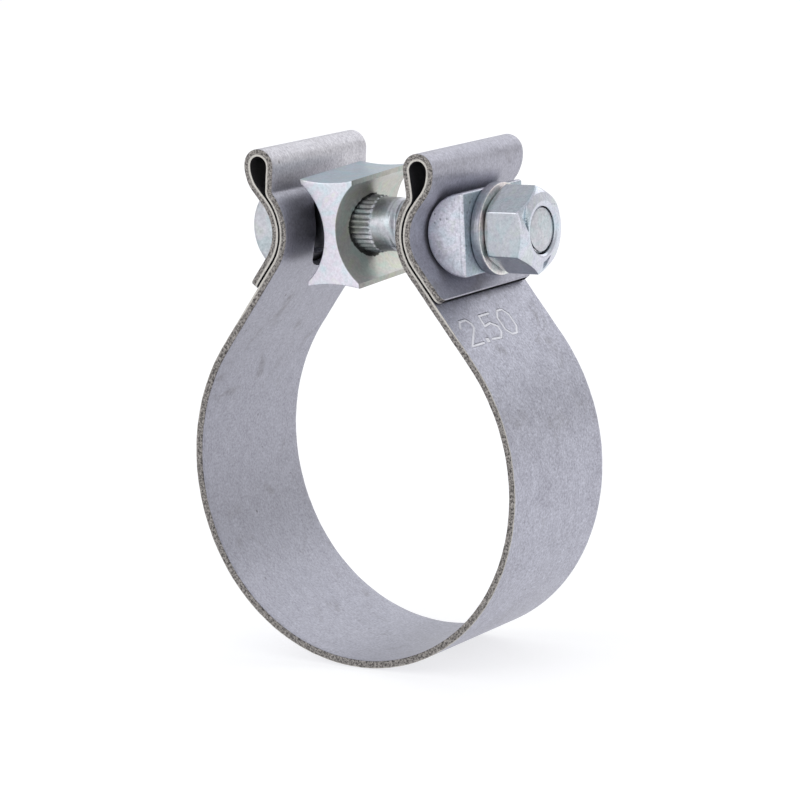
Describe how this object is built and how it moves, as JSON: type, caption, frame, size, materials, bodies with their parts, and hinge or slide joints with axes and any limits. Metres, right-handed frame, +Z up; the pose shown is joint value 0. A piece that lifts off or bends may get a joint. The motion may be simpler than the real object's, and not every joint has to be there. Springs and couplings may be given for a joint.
{
  "type": "exhaust clamp",
  "caption": "Band clamp for joining exhaust pipes: a folded steel strip closes round the pipe when the nut on its T-bolt draws the two doubled ears together.",
  "frame": {"origin": "on the axis of the ring's round lower part, in the middle of the strip's width", "axes": "+Y along the pipe, +X along the bolt towards the nut, +Z up from the pipe's axis to the bolt"},
  "size_m": [0.0706, 0.0318, 0.0968],
  "materials": {
    "band_steel": "satin rolled steel with dark sheared edges",
    "bolt_zinc": "bright zinc plating",
    "block_zinc": "bright zinc plating with a faint colour play",
    "bar_zinc": "zinc plating on a fine cast surface",
    "washer_steel": "zinc plating on turned steel",
    "nut_zinc": "bright zinc plating"
  },
  "bodies": {
    "clamp": {"band": "band_steel", "t_bolt": "bolt_zinc", "reaction_block": "block_zinc", "thrust_bar": "bar_zinc"},
    "washer": {"washer": "washer_steel"},
    "nut": {"nut": "nut_zinc"}
  },
  "joints": [
    {"name": "nut_turn", "type": "hinge", "parent": "clamp", "child": "washer", "pos_m": [0.0245, 0, 0.0465], "axis": [1, 0, 0], "range_deg": [0, 1440]},
    {"name": "nut_travel", "type": "slide", "parent": "washer", "child": "nut", "axis": [1, 0, 0], "range_m": [0, 0.0064]}
  ],
  "couplings": [
    {"joint": "nut_travel", "follows": "nut_turn", "m_per_rad": 0.00025266}
  ]
}
